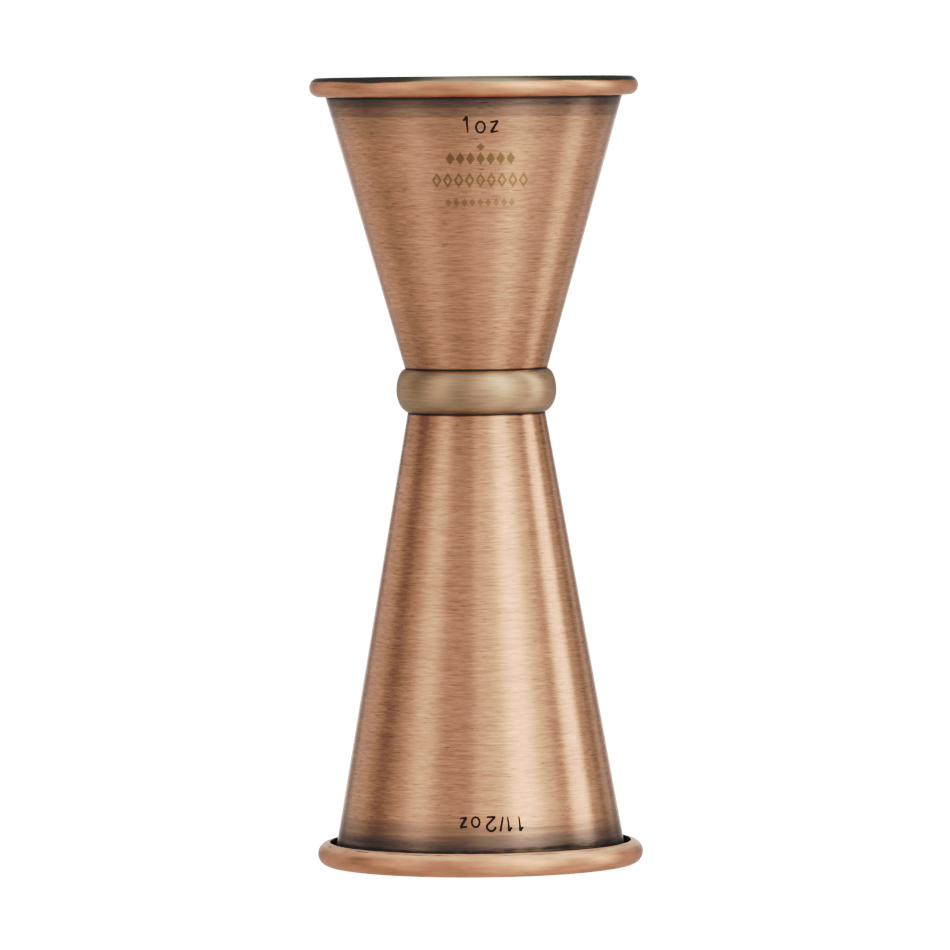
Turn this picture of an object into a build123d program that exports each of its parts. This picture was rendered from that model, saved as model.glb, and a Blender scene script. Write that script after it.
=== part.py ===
from build123d import *
from math import cos, pi, radians, sin, tan
import os

# A bar jigger: two tapered measuring cups joined floor to floor, with a rounded band
# over the joint and a rolled bead round each mouth.
#
# Millimetres.  The axis of both cups is Z.  The part stands on the mouth of the larger cup,
# the origin is in the middle of that mouth, and the front, where the marks are, faces -Y.

# Overall
overall_height = 110.5
waist_height = 66.6             # the plane where the two floors meet
waist_radius = 9.16             # where the outer faces of the two cups would cross
sheet = 0.9                     # wall of both cups

# The two cups
small_rim_radius = 23.05        # outside of the bead, 1 oz cup
small_half_angle = 15.78        # between the wall and the axis
large_rim_radius = 22.87        # outside of the bead, 1 1/2 oz cup
large_half_angle = 9.84
inner_corner_radius = 1.2       # between the floor and the wall, inside
rest_land_depth = 0.05          # taken off the crown of each bead, so that it rests on a flat ring
curl_past_crown = 3.0           # degrees that the free edge runs past the back of the bead

# The joint between the floors
braze_thickness = 0.15
braze_radius = 6.8

# The waist band, a hollow-backed ring
band_sheet = 0.8
band_crown_radius = 11.26
band_rise = 3.1                 # from the waist plane up to the upper lip
band_drop = 3.2                 # from the waist plane down to the lower lip
band_upper_bulge = 1.42         # radial half-axis of the oval above the waist plane
band_lower_bulge = 2.2          # and below it

# The capacity marks, cut into the outside of each cup
mark_depth = 0.15
mark_stroke = 0.27
small_mark_height = 2.25        # numerals; the letters are lower
large_mark_height = 2.0
small_mark_drop = 6.5           # from the rim plane to the middle of the mark
large_mark_drop = 7.2
small_mark_turn = 2.7           # degrees round the axis from the front
large_mark_turn = 4.7


def outer_radius(half_angle, distance):
    """The outside of a cup's wall, at a distance from the waist plane."""
    return waist_radius + tan(radians(half_angle)) * distance


def bead_radius(rim_radius, half_angle, depth):
    """The bead that is tangent to the inside of the wall, to the rim's radius and to the rest plane."""
    slope = radians(half_angle)
    room = (rim_radius - waist_radius) * cos(slope) - (depth + rest_land_depth) * sin(slope) + sheet
    return room / (1 + cos(slope) - sin(slope))


def cup(rim_radius, half_angle, depth):
    """A cup with its floor on the waist plane at Z = 0 and its mouth at Z = depth."""
    slope = radians(half_angle)
    bead = bead_radius(rim_radius, half_angle, depth)
    centre = Vector(rim_radius - bead, depth + rest_land_depth - bead)
    out_of_wall = Vector(cos(slope), -sin(slope))
    inside_end = centre - out_of_wall * bead
    outside_end = centre - out_of_wall * (bead - sheet)
    floor_out = braze_thickness / 2
    floor_in = floor_out + sheet
    inside_corner = (inside_end.X - tan(slope) * (inside_end.Y - floor_in), floor_in)
    outside_corner = (outside_end.X - tan(slope) * (outside_end.Y - floor_out), floor_out)
    curl = -(180 - half_angle + 90 + curl_past_crown)

    with BuildSketch(Plane.XZ) as section:
        with BuildLine():
            inside = FilletPolyline((0, floor_in), inside_corner, inside_end, radius=inner_corner_radius)
            outside = FilletPolyline((0, floor_out), outside_corner, outside_end,
                                     radius=inner_corner_radius + sheet)
            bead_outside = CenterArc(centre, bead, 180 - half_angle, curl)
            bead_inside = CenterArc(centre, bead - sheet, 180 - half_angle, curl)
            Line(bead_outside @ 1, bead_inside @ 1)
            Line(outside @ 0, inside @ 0)
        make_face()
        with Locations((0, depth)):
            Rectangle(2 * rim_radius + 2, 2 * rest_land_depth, align=(Align.CENTER, Align.MIN),
                      mode=Mode.SUBTRACT)
    return revolve(section.sketch, axis=Axis.Z)


def wall_skin(half_angle, depth):
    """The outermost layer of a cup's wall, as deep as the marks are cut."""
    across = mark_depth / cos(radians(half_angle))
    low = outer_radius(half_angle, 0)
    high = outer_radius(half_angle, depth)
    corners = [(low - across, 0), (low + 1, 0), (high + 1, depth), (high - across, depth)]
    return revolve(Plane.XZ * make_face(Polyline(*corners, close=True)), axis=Axis.Z)


def glyph(name, height):
    """The centre lines of one character, standing on its base line, and its width."""
    letter = 0.62 * height
    if name == "1":
        width = 0.3 * height
        return Polyline((0, 0.74 * height), (width, height), (width, 0)), width
    if name == "2":
        bowl = 0.3 * height
        top = CenterArc((bowl, height - bowl), bowl, 170, -200)
        return top + Polyline(top @ 1, (0, 0), (2 * bowl, 0)), 2 * bowl
    if name == "/":
        width = 0.2 * height
        return Line((0, 0), (width, height)), width
    if name == "o":
        return CenterArc((letter / 2, letter / 2), letter / 2, 0, 360), letter
    width = 0.8 * letter
    return Polyline((0, letter), (width, letter), (0, 0), (width, 0)), width


def mark(text, height):
    """A line of characters as thin strokes, centred on the origin."""
    gap = 0.33 * height
    space = 0.17 * height
    pen = 0
    strokes = Sketch()
    for name in text:
        if name == " ":
            pen += space
        else:
            lines, width = glyph(name, height)
            strokes += Pos(pen, 0) * trace(lines, mark_stroke)
            pen += width + gap
    return Pos((gap - pen) / 2, -height / 2) * strokes


def marked(blank, strokes, half_angle, depth, drop, turn):
    """A cup with its capacity cut into the wall near the mouth."""
    middle = Vector(0, -outer_radius(half_angle, depth - drop), depth - drop)
    face = Plane(middle, x_dir=(1, 0, 0), z_dir=(0, -1, 0))
    cutter = extrude(face * strokes, amount=5, both=True)
    return blank - Rot(Z=turn) * (cutter & wall_skin(half_angle, depth))


def band():
    """The hollow-backed ring over the joint, with both lips seated on the cups."""
    def oval(inset):
        with BuildSketch(Plane.XZ) as section:
            with BuildLine():
                upper = EllipticalCenterArc((band_crown_radius - band_upper_bulge, 0),
                                            band_upper_bulge - inset, band_rise - inset, 0, arc_size=90)
                lower = EllipticalCenterArc((band_crown_radius - band_lower_bulge, 0),
                                            band_lower_bulge - inset, band_drop - inset, -90, arc_size=90)
                Polyline(upper @ 1, (0, band_rise - inset), (0, inset - band_drop), lower @ 0)
            make_face()
        return revolve(section.sketch, axis=Axis.Z)

    reach = 5.0
    cones = Polyline((0, -reach), (outer_radius(large_half_angle, reach), -reach), (waist_radius, 0),
                     (outer_radius(small_half_angle, reach), reach), (0, reach), close=True)
    ring = oval(0) - oval(band_sheet) - revolve(Plane.XZ * make_face(cones), axis=Axis.Z)
    return Pos(0, 0, waist_height) * ring


small_depth = overall_height - waist_height
large_depth = waist_height

small_cup = marked(cup(small_rim_radius, small_half_angle, small_depth), mark("1 oz", small_mark_height),
                   small_half_angle, small_depth, small_mark_drop, small_mark_turn)
large_cup = marked(cup(large_rim_radius, large_half_angle, large_depth), mark("1 1/2 oz", large_mark_height),
                   large_half_angle, large_depth, large_mark_drop, -large_mark_turn)

nodes = {
    "upper_cup": Pos(0, 0, waist_height) * small_cup,
    "lower_cup": Pos(0, 0, waist_height) * Rot(Y=180) * large_cup,
    "floor_braze": Pos(0, 0, waist_height) * Cylinder(braze_radius, braze_thickness),
    "waist_band": band(),
}

os.makedirs("parts", exist_ok=True)
for name, shape in nodes.items():
    shape.label = name
    export_step(shape, f"parts/{name}.step")
    box = shape.bounding_box()
    print(f"{name}: {len(shape.solids())} solid, {shape.volume:.1f} mm3, "
          f"Z {box.min.Z:.2f} to {box.max.Z:.2f}, across {box.size.X:.2f}")

for name, rim, angle, depth in (("upper_cup", small_rim_radius, small_half_angle, small_depth),
                                ("lower_cup", large_rim_radius, large_half_angle, large_depth)):
    floor_in = braze_thickness / 2 + sheet
    wall_across = sheet / cos(radians(angle))
    bottom = outer_radius(angle, floor_in) - wall_across
    top = outer_radius(angle, depth) - wall_across
    millilitres = pi / 3 * (depth - floor_in) * (bottom ** 2 + bottom * top + top ** 2) / 1000
    print(f"{name}: bead radius {bead_radius(rim, angle, depth):.3f}, holds about {millilitres:.1f} ml")
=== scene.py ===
# %% [markdown]
# # A double bar jigger in antique copper
#
# A jigger measures spirits. This one is two tapered cups joined floor to floor: the short cup
# holds 1 oz and the long one 1 1/2 oz. Each mouth is rolled outwards into a round bead, and a
# rounded band covers the joint at the waist. The sheet is stainless steel under a dark copper
# plating that has been brushed round the axis.
#
# The measured parts are loaded first and are never moved. Everything below is built around them.

# %% Load the measured parts
from collections import namedtuple
from math import asin, atan2, cos, degrees, hypot, pi, radians, sin, tan

import bpy
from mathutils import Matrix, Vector, kdtree


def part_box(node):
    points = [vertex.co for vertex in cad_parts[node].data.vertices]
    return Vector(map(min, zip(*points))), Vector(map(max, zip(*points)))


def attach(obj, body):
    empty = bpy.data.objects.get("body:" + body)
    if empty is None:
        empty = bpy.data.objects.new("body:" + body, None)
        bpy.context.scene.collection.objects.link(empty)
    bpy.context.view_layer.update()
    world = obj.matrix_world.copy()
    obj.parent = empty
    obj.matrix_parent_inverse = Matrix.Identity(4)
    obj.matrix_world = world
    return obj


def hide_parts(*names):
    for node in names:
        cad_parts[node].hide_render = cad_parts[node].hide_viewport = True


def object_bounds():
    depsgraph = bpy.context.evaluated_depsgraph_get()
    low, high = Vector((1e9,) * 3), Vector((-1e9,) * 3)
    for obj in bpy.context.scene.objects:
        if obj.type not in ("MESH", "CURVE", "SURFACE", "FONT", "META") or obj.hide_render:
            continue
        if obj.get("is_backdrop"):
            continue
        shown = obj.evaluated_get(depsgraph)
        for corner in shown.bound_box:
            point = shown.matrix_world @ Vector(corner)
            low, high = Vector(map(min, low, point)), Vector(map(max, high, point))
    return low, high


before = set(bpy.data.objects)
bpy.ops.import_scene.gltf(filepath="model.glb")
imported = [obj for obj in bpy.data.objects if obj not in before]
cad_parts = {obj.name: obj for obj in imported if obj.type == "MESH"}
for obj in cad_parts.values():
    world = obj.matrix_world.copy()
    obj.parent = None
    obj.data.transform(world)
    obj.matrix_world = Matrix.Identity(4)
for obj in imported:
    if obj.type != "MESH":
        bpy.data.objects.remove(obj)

cad_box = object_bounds()
print("parts:", ", ".join(sorted(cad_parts)))

# %% [markdown]
# ## Sizes
#
# A box round each measured part gives most of what is needed: where the floors meet, how wide
# the rims are, how far the band reaches. The rest are the few sizes that a box can't show, such
# as the thickness of the sheet and the slope of each wall. Every shape below is worked out from
# these, so nothing has to be fitted by eye.

# %% Sizes from the parts
mm = 0.001
braze_low, braze_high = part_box("floor_braze")
band_low, band_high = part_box("waist_band")
upper_low, upper_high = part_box("upper_cup")
lower_low, lower_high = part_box("lower_cup")

waist = (braze_low.z + braze_high.z) / 2
half_braze = (braze_high.z - braze_low.z) / 2
sheet = 0.9 * mm
waist_radius = 9.16 * mm
floor_corner = 1.2 * mm
rest_land = 0.05 * mm
curl_past_crown = radians(3)

Cup = namedtuple("Cup", "name node up depth rim slope mark mark_height mark_drop mark_turn")
small_cup = Cup("small_cup", "upper_cup", 1, upper_high.z - waist, upper_high.x, radians(15.78),
                "1 oz", 2.25 * mm, 6.5 * mm, radians(2.7))
large_cup = Cup("large_cup", "lower_cup", -1, waist - lower_low.z, lower_high.x, radians(9.84),
                "1 1/2 oz", 2.0 * mm, 7.2 * mm, radians(4.7))
print(f"waist plane {waist / mm:.2f} mm, depths {small_cup.depth / mm:.2f} and {large_cup.depth / mm:.2f} mm")

# %% [markdown]
# ## The camera
#
# A long lens from more than a metre away keeps both cups almost free of perspective, so
# the walls look as straight as they are. The camera stands a little above the upper rim and
# looks slightly down, which shows the top of the lower bead and the gutter behind it. It is
# rolled by half a degree, because a hand-held camera is never quite level.

# %% Camera
camera_distance = 1.25
camera_height = 0.1171
sensor_width = 36.0
view_width = 0.1333
aim = Vector((-0.0003, 0, 0.05466))
camera_roll = radians(-0.52)

camera_data = bpy.data.cameras.new("camera")
camera = bpy.data.objects.new("camera", camera_data)
bpy.context.scene.collection.objects.link(camera)
bpy.context.scene.camera = camera
camera.location = (0, -camera_distance, camera_height)
looking = aim - camera.location
turn = looking.to_track_quat("-Z", "Y").to_euler()
turn.rotate_axis("Z", camera_roll)
camera.rotation_euler = turn
camera_data.sensor_width = sensor_width
camera_data.lens = sensor_width * looking.length / view_width
camera_data.clip_end = 50
print(f"lens {camera_data.lens:.0f} mm, looking down {degrees(asin(-looking.normalized().z)):.1f} degrees")

# %% [markdown]
# ## How the sheet is drawn
#
# On the real object each cup is one disc of sheet, pressed to a cone and then rolled over at the
# mouth. A model can follow the same order. A path lists the radius and height of the sheet at
# each step: across the floor, round the corner, up the wall and round the curl. The path is on
# the side that touches the liquid, because that side becomes the outside of the bead.
#
# The bead has to touch three things at once: the inside of the wall, the rim's full radius, and
# the plane that the jigger rests on. One equation gives the only bead that does.

# %% The path of a cup
floor_steps = 5
corner_steps = 6
wall_steps = 22
mark_steps = 16
curl_steps = 40
room_round_mark = 2 * mm


def bead_radius(cup):
    """The only bead that touches the inside of the wall, the rim's radius and the rest plane."""
    room = (cup.rim - waist_radius) * cos(cup.slope) - (cup.depth + rest_land) * sin(cup.slope) + sheet
    return room / (1 + cos(cup.slope) - sin(cup.slope))


def arc(middle, radius, start, end, steps):
    """Points along part of a circle, both ends included."""
    angles = [start + (end - start) * i / steps for i in range(steps + 1)]
    return [(middle[0] + radius * cos(a), middle[1] + radius * sin(a)) for a in angles]


def straight(start, end, steps):
    """Points along a straight line, both ends included."""
    return [(start[0] + (end[0] - start[0]) * i / steps, start[1] + (end[1] - start[1]) * i / steps)
            for i in range(steps + 1)]


def cup_path(cup):
    """(radius, distance from the waist) of each ring, and the number of the curl's first ring."""
    bead = bead_radius(cup)
    middle = (cup.rim - bead, cup.depth + rest_land - bead)
    wall_end = (middle[0] - cos(cup.slope) * bead, middle[1] + sin(cup.slope) * bead)
    floor = half_braze + sheet
    corner_radius = wall_end[0] - tan(cup.slope) * (wall_end[1] - floor)
    setback = floor_corner / tan((pi / 2 + cup.slope) / 2)
    floor_edge = corner_radius - setback
    corner = arc((floor_edge, floor + floor_corner), floor_corner, -pi / 2, -cup.slope, corner_steps)
    below_mark = cup.depth - cup.mark_drop - room_round_mark
    mark_low = (wall_end[0] - tan(cup.slope) * (wall_end[1] - below_mark), below_mark)
    path = straight((1 * mm, floor), (floor_edge, floor), floor_steps)[:-1]
    path += corner[:-1]
    path += straight(corner[-1], mark_low, wall_steps)[:-1]
    path += straight(mark_low, wall_end, mark_steps)[:-1]
    curl_start = len(path)
    path += arc(middle, bead, pi - cup.slope, -pi / 2 - curl_past_crown, curl_steps)
    return [(radius, min(distance, cup.depth)) for radius, distance in path], curl_start


for cup in (small_cup, large_cup):
    path, curl_start = cup_path(cup)
    print(f"{cup.name}: {len(path)} rings, bead {bead_radius(cup) / mm:.2f} mm in radius")

# %% [markdown]
# ## Drawing the sheet ring by ring
#
# The first ring is a small circle. Its edge is extruded, then moved and scaled onto the next
# step of the path, again and again, as a press draws the metal out. Spinning a drawn outline
# would give the same shape; extruding keeps every ring in order, and the last one is always the
# open edge.

# %% Rings
turns = 288


def select_only(*pieces):
    """Selects these pieces and nothing else. The first one becomes the active piece."""
    for thing in bpy.context.selected_objects:
        thing.select_set(False)
    for piece in pieces:
        piece.select_set(True)
    if pieces:
        bpy.context.view_layer.objects.active = pieces[0]


def draw_sheet(name, path, closed):
    """A surface of rings along the path. A closed one has a floor inside its first ring, and its good
    side looks inwards. An open one is a ring, and its good side looks outwards."""
    select_only()
    radius, height = path[0]
    bpy.ops.mesh.primitive_circle_add(vertices=turns, radius=radius, location=(0, 0, height),
                                      fill_type="TRIFAN" if closed else "NOTHING")
    piece = bpy.context.active_object
    piece.name = piece.data.name = name
    bpy.ops.object.transform_apply(location=True, rotation=True, scale=True)
    bpy.ops.object.mode_set(mode="EDIT")
    bpy.ops.mesh.select_mode(type="EDGE")
    bpy.ops.mesh.select_all(action="DESELECT")
    bpy.ops.mesh.select_non_manifold(use_wire=not closed, use_boundary=closed, use_multi_face=False,
                                     use_non_contiguous=False, use_verts=False)
    for next_radius, next_height in path[1:]:
        bpy.ops.mesh.extrude_region_move(TRANSFORM_OT_translate={"value": (0, 0, next_height - height)})
        scale = next_radius / radius
        bpy.ops.transform.resize(value=(scale, scale, 1), center_override=(0, 0, 0))
        radius, height = next_radius, next_height
    bpy.ops.mesh.select_all(action="SELECT")
    bpy.ops.mesh.normals_make_consistent(inside=False)
    bpy.ops.object.mode_set(mode="OBJECT")
    outward = sum(face.area * face.normal.xy.dot(face.center.xy) for face in piece.data.polygons)
    if (outward > 0) == closed:
        piece.data.flip_normals()
    return piece


print(f"each ring has {turns} corners")

# %% [markdown]
# ## A flat map of the sheet
#
# The wheel's brushing runs round the axis and goes on over the bead, so a pattern that follows
# height alone would stretch there. The sheet gets a flat map of its own instead, with the turn
# round the axis across and the distance along the sheet upwards. Each vertex looks up the ring it
# belongs to, and a face that lies over the start of the turn, at the back, is carried past the
# edge of the map.

# %% Flat map
def path_lengths(path):
    """The distance along the sheet from its start to each ring."""
    lengths = [0.0]
    for (r0, h0), (r1, h1) in zip(path, path[1:]):
        lengths.append(lengths[-1] + hypot(r1 - r0, h1 - h0))
    return lengths


def ring_finder(path):
    """A function that gives the number of the ring that a vertex belongs to."""
    rings = kdtree.KDTree(len(path))
    for number, (radius, height) in enumerate(path):
        rings.insert((radius, height, 0), number)
    rings.balance()
    return lambda vertex: rings.find((hypot(vertex.co.x, vertex.co.y), vertex.co.z, 0))[1]


def map_sheet(piece, path):
    """Across is the turn round the axis, from 0 to 1, and up is the distance along the sheet in metres."""
    lengths = path_lengths(path)
    ring_of = ring_finder(path)
    mesh = piece.data
    up = [lengths[ring_of(vertex)] for vertex in mesh.vertices]
    across = [atan2(vertex.co.x, -vertex.co.y) / (2 * pi) + 0.5 for vertex in mesh.vertices]
    layer = mesh.uv_layers.active or mesh.uv_layers.new(name="sheet")
    layer.name = "sheet"
    for face in mesh.polygons:
        corners = [(loop, across[mesh.loops[loop].vertex_index], up[mesh.loops[loop].vertex_index])
                   for loop in face.loop_indices]
        wraps = max(a for _, a, _ in corners) - min(a for _, a, _ in corners) > 0.5
        for loop, a, u in corners:
            layer.data[loop].uv = (a + 1 if wraps and a < 0.5 else a, u)


# %% [markdown]
# ## Modifiers, applied at once
#
# Thickness, soft edges and cuts come from modifiers. Each is applied as soon as it is added, so
# that the next one works on real faces, and the finished piece has none left.

# %% One modifier at a time
def modify(piece, kind, **settings):
    """Adds one modifier with these settings and applies it."""
    select_only(piece)
    modifier = piece.modifiers.new(kind.lower(), kind)
    for name, value in settings.items():
        setattr(modifier, name, value)
    bpy.ops.object.modifier_apply(modifier=modifier.name)


# %% [markdown]
# ## The two cups
#
# The upper cup opens upwards and the lower one downwards, so the lower cup's heights are taken
# down from the waist. The curl was rolled over on a machine, and its free edge is never quite
# even: a soft cloud pattern pushes that edge up and down by less than a tenth of a millimetre,
# and the curl before it less and less. Then the sheet gets its real thickness, towards the side
# that the liquid doesn't touch, and its cut edge is eased with a small bevel.

# %% Draw the cups
free_edge_wave = 0.12 * mm
free_edge_ease = 0.14 * mm
wave_length = 3.5 * mm
steps_before_wave = 27


def make_cup(cup):
    path, curl_start = cup_path(cup)
    path = [(radius, waist + cup.up * distance) for radius, distance in path]
    piece = draw_sheet(cup.name, path, closed=True)
    map_sheet(piece, path)

    curl = piece.vertex_groups.new(name="curl")
    wave_start = curl_start + steps_before_wave
    ring_of = ring_finder(path)
    for vertex in piece.data.vertices:
        past_start = ring_of(vertex) - wave_start
        if past_start > 0:
            curl.add([vertex.index], past_start / (len(path) - wave_start), "REPLACE")
    clouds = bpy.data.textures.new(cup.name + "_rolling", "CLOUDS")
    clouds.noise_scale = wave_length
    modify(piece, "DISPLACE", texture=clouds, direction="Z", strength=free_edge_wave, vertex_group="curl")
    piece.data.materials.append(None)
    piece.data.materials.append(None)
    modify(piece, "SOLIDIFY", thickness=sheet, offset=-1, use_even_offset=True, use_quality_normals=True,
           material_offset=1, material_offset_rim=1)
    modify(piece, "BEVEL", width=free_edge_ease, segments=3, limit_method="ANGLE", angle_limit=radians(60))
    print(f"{piece.name}: {len(piece.data.polygons)} faces, "
          f"height {min(v.co.z for v in piece.data.vertices) / mm:.2f} to "
          f"{max(v.co.z for v in piece.data.vertices) / mm:.2f} mm")
    return piece


cup_pieces = {cup: make_cup(cup) for cup in (small_cup, large_cup)}

# %% [markdown]
# ## The waist band
#
# The band is a ring of thinner sheet, pressed to a soft oval that bulges a little more towards
# the short cup. It is hollow behind, and only its two lips touch the cups. The same drawing tool
# makes it: it starts at the lower lip, goes out over the crown and comes in to the upper lip,
# and its thickness goes inwards.

# %% Draw the band
band_sheet = 0.8 * mm
band_crown = band_high.x
band_rise = 3.1 * mm
band_drop = 3.2 * mm
band_upper_bulge = 1.42 * mm
band_lower_bulge = 2.2 * mm
lip_ease = 0.16 * mm
band_steps = 20


def oval(bulge, reach, start, end):
    """Part of an oval outline, from the crown's own level or up to it."""
    angles = [start + (end - start) * i / band_steps for i in range(band_steps + 1)]
    return [(band_crown - bulge * (1 - cos(a)), waist + reach * sin(a)) for a in angles]


lower_lip = asin((band_low.z - waist) / band_drop)
upper_lip = asin((band_high.z - waist) / band_rise)
band_path = oval(band_lower_bulge, band_drop, lower_lip, 0)[:-1]
band_path += oval(band_upper_bulge, band_rise, 0, upper_lip)
band = draw_sheet("waist_ring", band_path, closed=False)
map_sheet(band, band_path)
modify(band, "SOLIDIFY", thickness=band_sheet, offset=-1, use_even_offset=True, use_quality_normals=True)
modify(band, "BEVEL", width=lip_ease, segments=3, limit_method="ANGLE", angle_limit=radians(40))
print(f"{band.name}: {len(band.data.polygons)} faces")

# %% [markdown]
# ## The capacity marks
#
# Each cup is stamped with its measure. The characters are drawn first, as flat strokes one unit
# high. Each point of a stroke also has a weight, because a stroke swells a little where the punch
# struck harder. A font would be quicker, but its outlines are too even for a hand punch.

# %% Strokes of the marks
def glyph(name):
    """The strokes of a character one unit high, as (x, y, weight) points, and its width."""
    if name == "1":
        flag = [(0, 0.74, 0.75), (0.13, 0.84, 1.25), (0.22, 1, 1.15)]
        stem = [(0.22, 1, 1.15), (0.24, 0.55, 0.9), (0.30, 0, 0.65)]
        return [flag, stem], 0.30
    if name == "2":
        bowl = [(0.3 - 0.3 * cos(radians(a)), 0.66 + 0.3 * sin(radians(a)), 1) for a in range(0, 220, 20)]
        return [bowl, [bowl[-1], (0.03, 0.02, 1)], [(0, 0, 1), (0.6, 0, 0.75)]], 0.6
    if name == "/":
        return [[(0, 0, 0.8), (0.2, 1, 1)]], 0.2
    if name == "o":
        ring = [(0.27 + 0.27 * sin(radians(a)), 0.34 - 0.34 * cos(radians(a)), 0.9)
                for a in range(0, 375, 15)]
        return [ring], 0.54
    return [[(0, 0.64, 0.85), (0.47, 0.71, 1.05)], [(0.47, 0.71, 1.05), (0.06, 0.05, 1.25)],
            [(0.02, 0.03, 1.05), (0.5, 0.09, 0.65)]], 0.5


def line_of_strokes(text):
    """All strokes of a line of characters, centred on the origin."""
    gap = 0.33
    space = 0.17
    pen = 0
    strokes = []
    for name in text:
        if name == " ":
            pen += space
        else:
            parts, width = glyph(name)
            strokes += [[(pen + x, y, weight) for x, y, weight in part] for part in parts]
            pen += width + gap
    middle = (pen - gap) / 2
    return [[(x - middle, y - 0.5, weight) for x, y, weight in part] for part in strokes]


for cup in (small_cup, large_cup):
    print(f"{cup.mark}: {len(line_of_strokes(cup.mark))} strokes")

# %% [markdown]
# ## Laying the strokes on the wall
#
# A stamp presses a groove with a round bottom. So every stroke becomes a thin round rod that lies
# along the cone, about half sunk in it. The rods are joined and melted into one punch with a voxel
# remesh, because rods that merely cross would leave stray faces, and the punch is cut out of the
# sheet with a Boolean. The groove takes over the punch's own finish, which is the dark compound
# left in it after plating.

# %% Stamp
stroke_radius = 0.15 * mm
stroke_lift = 0.03 * mm
voxel = 0.04 * mm


def on_wall(cup, across, distance, lift):
    """A point on a cup's outer wall: metres across from the front, and from the waist along Z."""
    radius = waist_radius + tan(cup.slope) * distance
    angle = cup.mark_turn + cup.up * across / radius
    out = radius + lift
    return Vector((out * sin(angle), -out * cos(angle), waist + cup.up * distance))


def stroke_rod(cup, stroke):
    """A round rod along one stroke, on the wall."""
    curve = bpy.data.curves.new("rod", "CURVE")
    curve.dimensions = "3D"
    curve.bevel_depth = stroke_radius
    curve.bevel_resolution = 3
    curve.use_fill_caps = True
    spline = curve.splines.new("POLY")
    spline.points.add(len(stroke) - 1)
    for point, (x, y, weight) in zip(spline.points, stroke):
        distance = cup.depth - cup.mark_drop + y * cup.mark_height
        point.co = (*on_wall(cup, x * cup.mark_height, distance, stroke_lift), 1)
        point.radius = weight
    rod = bpy.data.objects.new("rod", curve)
    bpy.context.scene.collection.objects.link(rod)
    return rod


def stamp(cup, piece):
    rods = [stroke_rod(cup, stroke) for stroke in line_of_strokes(cup.mark)]
    select_only(*rods)
    bpy.ops.object.convert(target="MESH")
    bpy.ops.object.join()
    punch = bpy.context.active_object
    modify(punch, "REMESH", mode="VOXEL", voxel_size=voxel)
    punch.data.materials.clear()
    punch.data.materials.append(groove)
    modify(piece, "BOOLEAN", object=punch, operation="DIFFERENCE", solver="EXACT", material_mode="TRANSFER")
    bpy.data.objects.remove(punch)
    print(f"{piece.name}: mark {cup.mark!r} cut with {len(rods)} strokes, {len(piece.data.polygons)} faces")


# %% [markdown]
# ## A small kit for node trees
#
# Each finish below is a tree of nodes, and so is the light. Written out by hand, every node takes
# several lines, so this kit holds the few steps that repeat: add a node and join it up, do a sum,
# make a soft step. Inputs can be plain values or the outputs of other nodes.

# %% Node kit
class Nodes:
    """A node tree while it is being made."""

    def __init__(self, tree):
        self.tree = tree

    def node(self, kind, output, inputs, **settings):
        """Adds a node, joins up its inputs and gives one of its outputs."""
        node = self.tree.nodes.new("ShaderNode" + kind)
        for name, value in settings.items():
            setattr(node, name, value)
        for socket, value in inputs.items():
            self.feed(node.inputs[socket], value)
        return node.outputs[output]

    def feed(self, socket, value):
        """Links an input to another node's output, or sets it to a plain value."""
        if isinstance(value, bpy.types.NodeSocket):
            self.tree.links.new(value, socket)
        else:
            socket.default_value = value

    def math(self, operation, a, b=0.0):
        return self.node("Math", 0, {0: a, 1: b}, operation=operation)

    def step(self, value, low, high):
        """0 below low, 1 above high, and smooth between them. Low may be above high."""
        return self.node("MapRange", "Result", {"Value": value, "From Min": low, "From Max": high},
                         interpolation_type="SMOOTHSTEP")


# %% [markdown]
# ## A small kit for finishes
#
# A finish adds what a metal needs. Its noise is drawn out round the axis, as brushing is, and it
# can be blended, tinted and pressed into the surface as a bump. The tangent follows the flat map,
# so that a highlight spreads across the brushing and never along it.

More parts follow.
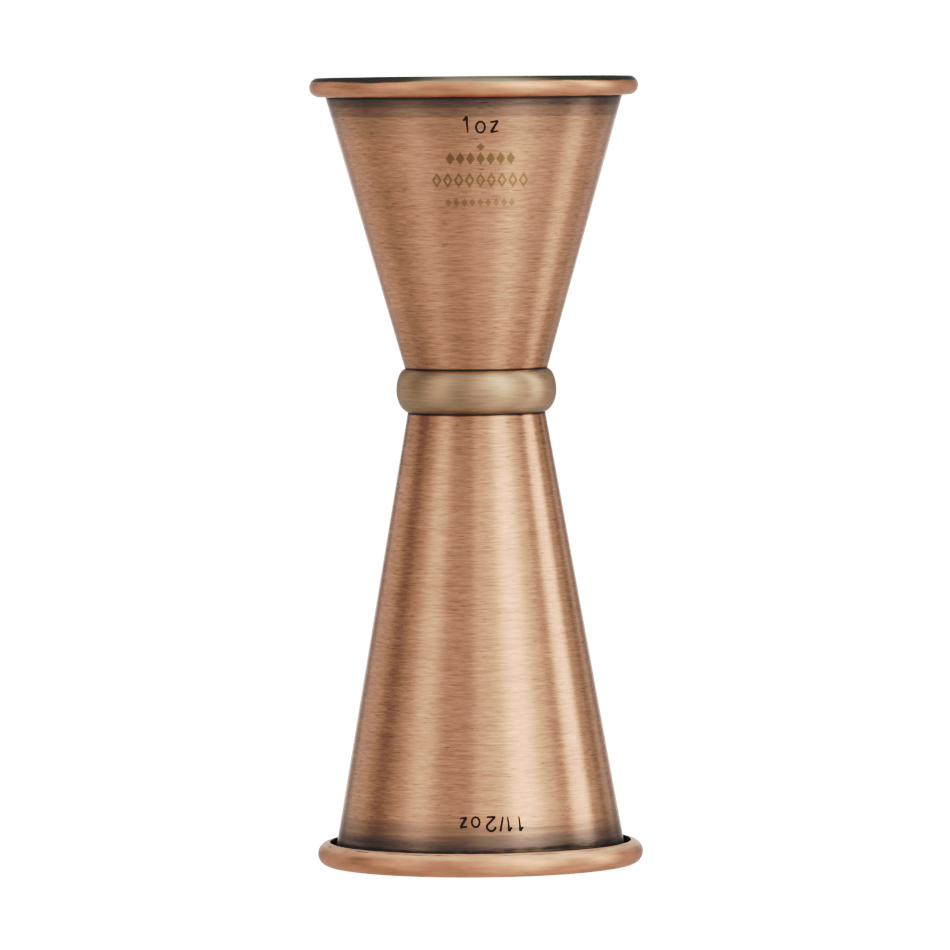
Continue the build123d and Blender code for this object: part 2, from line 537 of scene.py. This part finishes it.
# %% Finish kit
class Finish(Nodes):
    """A material while it is being made."""

    def __init__(self, name, **settings):
        self.material = bpy.data.materials.new(name)
        self.material.use_nodes = True
        super().__init__(self.material.node_tree)
        self.shader = self.tree.nodes["Principled BSDF"]
        for socket, value in settings.items():
            self.give(socket.replace("_", " "), value)

    def give(self, socket, value):
        """Sets or links one of the metal's own inputs."""
        self.feed(self.shader.inputs[socket], value)

    def blend(self, amount, a, b):
        """The first colour where the amount is 0, the second where it is 1."""
        return self.node("Mix", 2, {0: amount, 6: a, 7: b}, data_type="RGBA")

    def tint(self, colour, amount):
        """A colour made lighter or darker by a factor."""
        return self.node("VectorMath", 0, {0: colour, "Scale": amount}, operation="SCALE")

    def noise(self, vector, detail=2.0, roughness=0.5):
        """Cloudy noise, about 0.5."""
        return self.node("TexNoise", 0, {"Vector": vector, "Scale": 1.0, "Detail": detail,
                                         "Roughness": roughness})

    def sheet_space(self):
        """Object x and y, and the distance along the sheet: brushing round the axis is long in the first
        two and short in the third, and it has no seam at the back."""
        x, y, z = (self.node("SeparateXYZ", i, {0: self.node("TexCoord", "Object", {})}) for i in range(3))
        along = self.node("SeparateXYZ", 1, {0: self.node("UVMap", 0, {}, uv_map="sheet")})
        self.x, self.y, self.z, self.along = x, y, z, along

    def brushed(self, per_turn, per_along, detail=2.0, roughness=0.5):
        """Noise drawn out round the axis, about 0.5. The two numbers are features per millimetre."""
        vector = self.node("CombineXYZ", 0, {0: self.math("MULTIPLY", self.x, per_turn / mm),
                                             1: self.math("MULTIPLY", self.y, per_turn / mm),
                                             2: self.math("MULTIPLY", self.along, per_along / mm)})
        return self.noise(vector, detail, roughness)

    def total(self, start, *parts):
        """A start value plus each (noise, amount) pair, with every noise taken about 0.5."""
        for noise, amount in parts:
            centred = self.math("SUBTRACT", noise, 0.5)
            start = self.math("ADD", start, self.math("MULTIPLY", centred, amount))
        return start

    def bump(self, height, distance):
        """Presses a pattern into the surface, this deep."""
        self.give("Normal", self.node("Bump", 0, {"Height": height, "Distance": distance, "Strength": 1.0}))

    def brush_direction(self):
        """Lets the highlights spread across the brushing, which runs round the axis."""
        tangent = self.node("Tangent", 0, {}, direction_type="UV_MAP", uv_map="sheet")
        self.give("Tangent", tangent)
        self.give("Anisotropic Rotation", 0.25)


# %% [markdown]
# ## An etched ornament
#
# Below its mark the short cup has four rows of small lozenges, etched so lightly that they show
# only as an olive tone in the copper. Cutting them into the sheet would be wrong, because an acid
# leaves a stain and no edge to speak of. So they are worked out in the finish, from two
# distances. One runs along the row and is folded back and forth at every pitch, the other runs up
# and down from the row's middle, and their sum is below one only inside a lozenge.
#
# The third row is of outlines, and the second of its two limits leaves only the rim of each.

# %% Rows of lozenges
etched_colour = (0.34, 0.245, 0.13, 1)

Row = namedtuple("Row", "below_rim half_width half_height pitch count line strength")
ornament = [
    Row(9.6 * mm, 0.60 * mm, 0.55 * mm, 1.4 * mm, 1, 1.0, 0.8),
    Row(11.2 * mm, 0.62 * mm, 0.90 * mm, 1.4 * mm, 7, 1.0, 0.8),
    Row(14.2 * mm, 0.66 * mm, 1.10 * mm, 1.5 * mm, 9, 0.5, 0.7),
    Row(17.3 * mm, 0.42 * mm, 0.60 * mm, 1.1 * mm, 9, 1.0, 0.5),
]


def lozenges(finish, row, across, below):
    """1 inside a row of lozenges, 0 outside. A line below 1 leaves only the outer part of each."""
    from_middle = finish.math("ABSOLUTE", across)
    along_row = finish.math("ADD", from_middle, row.pitch / 2) if row.count % 2 else from_middle
    folded = finish.math("SUBTRACT", finish.math("MODULO", along_row, row.pitch), row.pitch / 2)
    rise = finish.math("SUBTRACT", below, row.below_rim)
    reach = finish.math("ADD", finish.math("DIVIDE", finish.math("ABSOLUTE", folded), row.half_width),
                        finish.math("DIVIDE", finish.math("ABSOLUTE", rise), row.half_height))
    inside = finish.step(reach, 1.1, 0.9)
    if row.line < 1:
        inside = finish.math("MULTIPLY", inside, finish.step(reach, 0.9 - row.line, 1.1 - row.line))
    in_row = finish.math("LESS_THAN", from_middle, row.pitch * row.count / 2)
    return finish.math("MULTIPLY", inside, in_row)


def etched(finish, copper, cup):
    """The copper with the ornament on its front, turned as far as the mark is."""
    place = finish.node("TexCoord", "Object", {})
    turned = finish.node("VectorRotate", 0, {"Vector": place, "Angle": -cup.mark_turn},
                         rotation_type="Z_AXIS")
    across = finish.node("SeparateXYZ", 0, {0: turned})
    below = finish.math("SUBTRACT", waist + cup.depth, finish.z)
    etching = 0.0
    for row in ornament:
        bite = finish.math("MULTIPLY", lozenges(finish, row, across, below), row.strength)
        etching = finish.math("MAXIMUM", etching, bite)
    in_front = finish.math("LESS_THAN", finish.y, 0.0)
    return finish.blend(finish.math("MULTIPLY", etching, in_front), copper, etched_colour)


print(f"ornament: {len(ornament)} rows, {sum(row.count for row in ornament)} lozenges")

# %% [markdown]
# ## Brushed antique copper
#
# Antique copper is plated, darkened with a chemical that turns it brown-black, and then brushed
# back, so the copper shows where the brush reached and the dark stays where it didn't: close
# under the upper bead and in the gutter of the lower one. Inside each curl that dark is deepened
# with painted shade, and against the lips of the band a thin line of painted shade is added. Towards
# the band the copper is also a little darker, as painted shade. The brushing is a dense field of
# fine scratches round the axis, with some longer and darker ones.
#
# A brushed metal reflects like a pack of tiny wires. Anisotropy does that: a light is drawn out
# across the scratches, into the upright bands that this finish is known for.

# %% Brushed copper
copper_colour = (0.74, 0.447, 0.318)
patina_colour = (0.33, 0.255, 0.215)
# the darkest patina, also used as painted shade in the crevices, the curls and the crease
deep_patina_and_shade_colour = (0.10, 0.080, 0.066, 1)


def brushed_copper(cup):
    finish = Finish(cup.name + "_brushed_copper", Metallic=1.0, Anisotropic=0.92)
    finish.sheet_space()
    finish.brush_direction()
    short = finish.brushed(0.55, 6.0, 2.0, 0.6)
    long = finish.brushed(0.13, 3.2, 2.0, 0.6)
    zones = finish.brushed(0.06, 0.4, 2.0, 0.5)
    scratches = finish.step(finish.brushed(0.6, 5.0, 1.0, 0.5), 0.66, 0.76)
    tone = finish.total(1.0, (short, 0.80), (long, 0.40), (zones, 0.2))
    tone = finish.math("SUBTRACT", tone, finish.math("MULTIPLY", scratches, 0.25))

    distance = finish.math("MULTIPLY", finish.math("SUBTRACT", finish.z, waist), cup.up)
    lip = band_high.z - waist if cup.up > 0 else waist - band_low.z
    # painted shade: the copper is darkened a little towards the band
    painted_band_shade = finish.math("MULTIPLY", finish.step(distance, lip + 12 * mm, lip + 0.5 * mm), 0.15)
    copper = finish.tint(copper_colour, finish.math("SUBTRACT", tone, painted_band_shade))
    ragged = finish.brushed(0.05, 1.6, 3.0, 0.6)
    if cup.up > 0:
        limit = finish.total(distance, (ragged, 0.35 * mm))
        stained = finish.step(limit, cup.depth - 5.75 * mm, cup.depth - 5.35 * mm)
        height = finish.total(distance, (ragged, 0.9 * mm), (short, 0.9 * mm))
        dark = finish.step(height, cup.depth - 5.0 * mm, cup.depth - 3.7 * mm)
        patina = finish.total(finish.math("MULTIPLY", stained, 0.66), (long, 0.5))
        patina = finish.math("MULTIPLY", patina, stained)
        haze = finish.math("MULTIPLY", finish.step(height, cup.depth - 10 * mm, cup.depth - 5.5 * mm), 0.25)
        deep = finish.math("MULTIPLY", dark, 0.10)
        patina = finish.math("MAXIMUM", patina, finish.math("MAXIMUM", dark, haze))
        copper = etched(finish, copper, cup)
    else:
        height = finish.total(distance, (ragged, 3.6 * mm), (short, 2.4 * mm))
        patina = finish.step(height, cup.depth - 8.6 * mm, cup.depth - 4.0 * mm)
        deep = finish.step(height, cup.depth - 4.4 * mm, cup.depth - 2.5 * mm)
    # painted shade: the darkest colour against the band's lips, and inside the curl on top of the patina
    painted_crevice_shade = finish.step(distance, lip + 0.35 * mm, lip + 0.05 * mm)
    curl_patina_and_shade = finish.step(distance, cup.depth - 3.3 * mm, cup.depth - 2.7 * mm)
    deep = finish.math("MAXIMUM", deep, finish.math("MAXIMUM", painted_crevice_shade, curl_patina_and_shade))
    colour = finish.blend(patina, copper, finish.tint(patina_colour, tone))
    colour = finish.blend(deep, colour, deep_patina_and_shade_colour)
    finish.give("Base Color", colour)

    rough = finish.total(0.27, (short, 0.10), (zones, 0.06))
    rough = finish.math("ADD", rough, finish.math("MULTIPLY", patina, 0.10))
    finish.give("Roughness", rough)
    finish.bump(finish.math("ADD", short, long), 0.008 * mm)
    return finish.material


# %% [markdown]
# ## Wear and painted light on the beads
#
# Each bead has its own look. The short cup's crown is worn down to a grey line with an uneven
# lower edge, and a painted reflection makes it paler at the front. The large cup stands on its
# bead, so its crown isn't seen, but its free edge faces up into the gutter: it is less metallic,
# and a painted highlight makes it pale, with a thin broken line of painted shade along the crease
# where the sheet was bent last. The crown is found by its height, and the free edge by how far it
# lies along the sheet.

# %% Worn crown, painted reflection and painted edge light
worn_colour = (0.16, 0.15, 0.12)
# the colour of the painted highlight on the large cup's free edge
painted_edge_light_colour = (0.92, 0.66, 0.50)


def worn_crown(finish, colour, tone, clouds, cup):
    """Grey metal on top of the bead, down to an uneven edge, and lightened near the middle by a painted
    reflection.
    """
    crown = waist + cup.depth - bead_radius(cup) * 0.42
    waves = finish.brushed(0.05, 0.0, 1.0, 0.5)
    uneven = finish.total(finish.z, (clouds, 0.5 * mm), (waves, 0.9 * mm))
    worn = finish.step(uneven, crown - 0.13 * mm, crown + 0.13 * mm)
    from_front = finish.math("ABSOLUTE", finish.math("SUBTRACT", finish.x, 1.2 * mm))
    # painted reflection: the grey crown is lightened near the middle, where it would reflect the bright tent
    painted_reflection = finish.math("MULTIPLY", finish.step(from_front, 12 * mm, 3 * mm), 1.6)
    return finish.blend(worn, colour, finish.tint(worn_colour, finish.math("ADD", tone, painted_reflection)))


def painted_edge_light(finish, colour, tone, free_edge):
    """Less metallic near the free edge, with a painted highlight that makes it paler and a broken line of
    painted shade along its crease.
    """
    # painted highlight: near the free edge the colour turns paler, so the top of the bead looks lit
    near_edge = finish.step(finish.along, free_edge - 2.2 * mm, free_edge - 0.7 * mm)
    metal = finish.math("SUBTRACT", 1.0, finish.math("MULTIPLY", near_edge, 0.5))
    finish.give("Metallic", metal)
    colour = finish.blend(finish.math("MULTIPLY", near_edge, 0.8), colour, finish.tint(painted_edge_light_colour, tone))
    wander = finish.total(finish.along, (finish.brushed(0.3, 0.05, 2.0, 0.5), 0.12 * mm))
    # painted shade: a thin broken dark line along the crease
    crease = free_edge - 0.90 * mm
    line = finish.math("MULTIPLY", finish.step(wander, crease - 0.14 * mm, crease - 0.02 * mm),
                       finish.step(wander, crease + 0.14 * mm, crease + 0.02 * mm))
    broken = finish.step(finish.brushed(0.22, 0.05, 3.0, 0.65), 0.46, 0.66)
    line = finish.math("MULTIPLY", finish.math("MULTIPLY", line, broken), 0.8)
    return finish.blend(line, colour, deep_patina_and_shade_colour)


# %% [markdown]
# ## The inside of the sheet and the beads
#
# The side that touches the liquid wasn't brushed by the same wheel. It is smoother, and as it
# rolls over the rim it becomes the outside of the bead, where hands and bar mats polish it to a
# brighter, more orange copper. The finish below is a satin with faint turning marks, a cleaner
# colour on the curl, and a darker one down in the cup.

# %% Satin copper
inside_colour = (0.55, 0.33, 0.22)
bead_colour = (0.80, 0.462, 0.325)


def satin_copper(cup):
    path, curl_start = cup_path(cup)
    lengths = path_lengths(path)
    finish = Finish(cup.name + "_satin_copper", Metallic=1.0, Anisotropic=0.6)
    finish.sheet_space()
    finish.brush_direction()
    fine = finish.brushed(0.20, 4.0, 2.0, 0.5)
    clouds = finish.brushed(0.25, 0.9, 3.0, 0.55)
    tone = finish.total(1.0, (fine, 0.35), (clouds, 0.55))
    on_curl = finish.step(finish.along, lengths[curl_start] - 1 * mm, lengths[curl_start] + 0.6 * mm)
    colour = finish.blend(on_curl, finish.tint(inside_colour, tone), finish.tint(bead_colour, tone))
    if cup.up > 0:
        colour = worn_crown(finish, colour, tone, clouds, cup)
    else:
        colour = painted_edge_light(finish, colour, tone, lengths[-1])
    finish.give("Base Color", colour)
    finish.give("Roughness", finish.total(0.40, (clouds, 0.15), (fine, 0.08)))
    finish.bump(finish.math("ADD", finish.math("MULTIPLY", fine, 0.5), clouds), 0.012 * mm)
    return finish.material


# %% [markdown]
# ## The other finishes
#
# The band was plated in a browner bronze, and its satin is finer than the cups' brushing. The
# darkening compound stays along its lips and in a few soft stains. The stamped grooves are
# filled with the same compound, and the braze between the floors is a bare yellow metal that
# nobody sees.

# %% Bronze, groove and braze
bronze_colour = (0.60, 0.43, 0.315)
lip_colour = (0.42, 0.35, 0.26)


def bronze():
    finish = Finish("waist_bronze", Metallic=1.0, Anisotropic=0.5)
    finish.sheet_space()
    finish.brush_direction()
    fine = finish.brushed(0.30, 5.0, 2.0, 0.6)
    stains = finish.brushed(0.16, 0.30, 2.0, 0.5)
    tone = finish.total(1.0, (fine, 0.5), (stains, 0.5))
    from_crown = finish.math("ABSOLUTE", finish.math("SUBTRACT", finish.z, waist))
    edge = finish.math("MULTIPLY", finish.step(from_crown, 1.6 * mm, 3.0 * mm), 0.6)
    colour = finish.blend(edge, finish.tint(bronze_colour, tone), finish.tint(lip_colour, tone))
    finish.give("Base Color", colour)
    finish.give("Roughness", finish.total(0.40, (fine, 0.10), (stains, 0.10)))
    finish.bump(fine, 0.008 * mm)
    return finish.material


def plain_finish(name, colour, metallic, rough_low, rough_high, grain):
    """A simple finish with a fine grain in its colour and its roughness."""
    finish = Finish(name, Metallic=metallic)
    place = finish.tint(finish.node("TexCoord", "Object", {}), grain / mm)
    speckle = finish.noise(place, 3.0)
    tone = finish.math("ADD", 0.75, finish.math("MULTIPLY", speckle, 0.5))
    finish.give("Base Color", finish.tint(colour, tone))
    spread = finish.math("MULTIPLY", speckle, rough_high - rough_low)
    finish.give("Roughness", finish.math("ADD", spread, rough_low))
    finish.bump(speckle, 0.01 * mm)
    return finish.material


groove = plain_finish("groove_compound", (0.035, 0.018, 0.012), 0.3, 0.5, 0.8, 6.0)
braze_metal = plain_finish("braze_metal", (0.72, 0.58, 0.30), 1.0, 0.3, 0.5, 2.0)

for cup, piece in cup_pieces.items():
    piece.data.materials[0] = satin_copper(cup)
    piece.data.materials[1] = brushed_copper(cup)
band.data.materials.append(bronze())
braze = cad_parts["floor_braze"]
braze.data.materials.clear()
braze.data.materials.append(braze_metal)
print("finishes:", ", ".join(sorted(m.name for m in bpy.data.materials if m.users)))

# %% [markdown]
# ## Cutting the marks and smoothing the metal
#
# The marks are cut once the cups have their finishes, because the cut passes the groove's own
# finish on to the metal it leaves. Smooth shading up to 35 degrees then hides the rings that the
# sheet was drawn in, and keeps the edges of the grooves crisp.

# %% Stamp the marks and smooth the metal
smooth_up_to = radians(35)

for cup, piece in cup_pieces.items():
    stamp(cup, piece)

for piece in (*cup_pieces.values(), band):
    select_only(piece)
    bpy.ops.object.shade_smooth_by_angle(angle=smooth_up_to)

# %% [markdown]
# ## Joining the pieces to the frame
#
# Nothing on a jigger moves, so every piece rides on the one body, and each stands for the
# measured part that it was built around.

# %% Ride and replace
for cup, piece in cup_pieces.items():
    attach(piece, "root")
    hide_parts(cup.node)
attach(band, "root")
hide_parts("waist_band")
print("every piece rides on the root body")

# %% [markdown]
# ## The light tent
#
# Curved metal shows its surroundings more than itself, so a studio lights it inside a white tent
# with softboxes behind the cloth and black cards in front of it. Here the sky is that tent. The
# cloth is a middle grey, and each softbox or card adds or takes away a soft-edged upright stripe
# at a compass angle. A low box behind the jigger lights the tops of the beads, the ceiling is a
# little brighter than the cloth, and below the horizon the tent fades to an even tone, which
# stands for light coming back from the table.
#
# The lens sees the tent as plain white.

# %% Tent tools
world = bpy.data.worlds.new("light_tent")
bpy.context.scene.world = world
world.use_nodes = True
tent = Nodes(world.node_tree)
tent.tree.nodes.clear()

direction = tent.node("TexCoord", "Generated", {})
right, back, upward = (tent.node("SeparateXYZ", i, {0: direction}) for i in range(3))
compass = tent.math("ARCTAN2", right, tent.math("MULTIPLY", back, -1.0))
elevation = tent.math("ARCSINE", upward)


def away_from(angle):
    """How far the compass angle is from the given one, either way round."""
    difference = tent.math("SUBTRACT", compass, radians(angle))
    return tent.math("ABSOLUTE", tent.node("Math", 0, {0: difference, 1: pi, 2: -pi}, operation="WRAP"))


# %% [markdown]
# ## Softboxes and black cards
#
# Each line below is one stripe: its compass angle from the front, half its width, its soft edge,
# all in degrees, and how much it adds to the cloth or takes away from it. An upright wall shows
# each stripe at half its angle. So the box at 40 degrees is the wide pale band right of the
# middle, the narrow box at 96 degrees is the bright line near the right edge, and the card at 83
# degrees is the dark gap between them.

# %% Stripes
softboxes = [
    (40, 2, 30, 0.61),
    (96, 6, 10, 0.64),
    (-55, 2, 21, 0.22),
    (6, 4, 14, 0.17),
    (73, 0, 19, 0.18),
]
black_cards = [
    (-98, 2, 20, 0.126),
    (129, 0, 10, 0.122),
    (83, 8, 7, 0.153),
    (180, 30, 10, 0.13),
]
dark_cloth = 0.29
pattern = dark_cloth
for angle, half_width, edge, strength in softboxes + [(a, h, e, -s) for a, h, e, s in black_cards]:
    stripe = tent.step(away_from(angle), radians(half_width + edge), radians(half_width))
    pattern = tent.math("ADD", pattern, tent.math("MULTIPLY", stripe, strength))
print(f"tent: {len(softboxes)} softboxes, {len(black_cards)} black cards")

# %% [markdown]
# ## Behind, below and above
#
# The low box behind the jigger is drawn by compass angle and by height. Below the horizon only a
# share of the pattern is left, with an even light added, and overhead the pattern gives way to
# the ceiling. Last, rays that come straight from the lens see plain white.

# %% Rear box, table light and ceiling
rear_strength = 0.40
table_fill = 0.19
table_share = 0.3
ceiling = 0.45

rear_box = tent.math("MULTIPLY", tent.step(away_from(180), radians(24), radians(8)),
                     tent.step(elevation, radians(16), radians(4)))
pattern = tent.math("ADD", pattern, tent.math("MULTIPLY", rear_box, rear_strength))
table_light = tent.math("ADD", tent.math("MULTIPLY", pattern, table_share), table_fill)
above_table = tent.step(elevation, radians(-14), radians(8))
light = tent.node("Mix", 0, {0: above_table, 2: table_light, 3: pattern}, data_type="FLOAT")
overhead = tent.step(elevation, radians(48), radians(72))
light = tent.node("Mix", 0, {0: overhead, 2: light, 3: ceiling}, data_type="FLOAT")
seen = tent.node("LightPath", "Is Camera Ray", {})
shown = tent.node("Mix", 0, {0: seen, 2: light, 3: 1.0}, data_type="FLOAT")
background = tent.node("Background", 0, {"Color": (1, 1, 1, 1), "Strength": shown})
output = tent.tree.nodes.new("ShaderNodeOutputWorld")
tent.feed(output.inputs[0], background)
print(f"tent: cloth {dark_cloth}, ceiling {ceiling}, table {table_fill} plus {table_share} of the pattern")

# %% [markdown]
# ## The table
#
# The jigger stands on a plain white sweep. It glows a little by itself, so that it stays white
# under the metal and only the softest shadow is left where the bead touches it. The metal
# reflects the tent's own pale lower half in place of the table.

# %% Table
table_radius = 6
table_height = -0.02 * mm

select_only()
bpy.ops.mesh.primitive_circle_add(vertices=96, radius=table_radius, fill_type="NGON",
                                  location=(0, 0, table_height))
table = bpy.context.active_object
table.name = "table"
table.visible_glossy = False
surface = Finish("white_sweep", Roughness=0.9, Base_Color=(0.9, 0.9, 0.9, 1),
                 Emission_Color=(1, 1, 1, 1), Emission_Strength=0.8)
table.data.materials.append(surface.material)
table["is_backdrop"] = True
print(f"table: {table_radius} m in radius")

# %% [markdown]
# ## The shadow under the foot
#
# The lower bead is darkest where it meets the table, because it reflects its own shadow there.
# The white table isn't seen in reflections, so it can't give that dark line. A dark disc under
# the mouth does: the lens and the light pass it by, and only reflections find it.

# %% Shadow under the foot
shade_radius = 21.7 * mm
shade_height = -0.01 * mm

select_only()
bpy.ops.mesh.primitive_circle_add(vertices=96, radius=shade_radius, fill_type="NGON",
                                  location=(0, 0, shade_height))
shade = bpy.context.active_object
shade.name = "shade_under_foot"
for seen_by in ("visible_camera", "visible_diffuse", "visible_shadow", "visible_transmission"):
    setattr(shade, seen_by, False)
shaded = Finish("shaded_sweep", Roughness=0.9, Base_Color=(0.10, 0.085, 0.075, 1))
shade.data.materials.append(shaded.material)
shade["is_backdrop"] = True
print("shade under the foot: seen only in reflections")

# %% [markdown]
# ## The picture's tones
#
# A studio picture is printed with a gentle S-curve: middle tones gain contrast, dark metal gets
# deeper and warmer, and bright metal turns pale before it burns out.

# %% Tones
view = bpy.context.scene.view_settings
view.view_transform = "Standard"
view.use_curve_mapping = True
tones = view.curve_mapping.curves[3]
printed = {0.06: 0.05, 0.10: 0.14, 0.145: 0.25, 0.25: 0.50, 0.38: 0.67, 0.58: 0.85}
for scene_level, printed_level in printed.items():
    tones.points.new(scene_level, printed_level)
view.curve_mapping.update()
print(f"tones: {len(printed)} points on the curve")

# %% [markdown]
# ## Sizes, printed
#
# The box round the measured parts was taken at the start. The box round the finished model is
# printed beside it, so one can see whether anything sticks out of the measured one.

# %% Sizes of the finished model
visual_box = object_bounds()
sizes = {"cad": [list(corner) for corner in cad_box], "visual": [list(corner) for corner in visual_box]}
for name, (low, high) in sizes.items():
    print(f"{name}: from {[round(v / mm, 3) for v in low]} to {[round(v / mm, 3) for v in high]} mm")
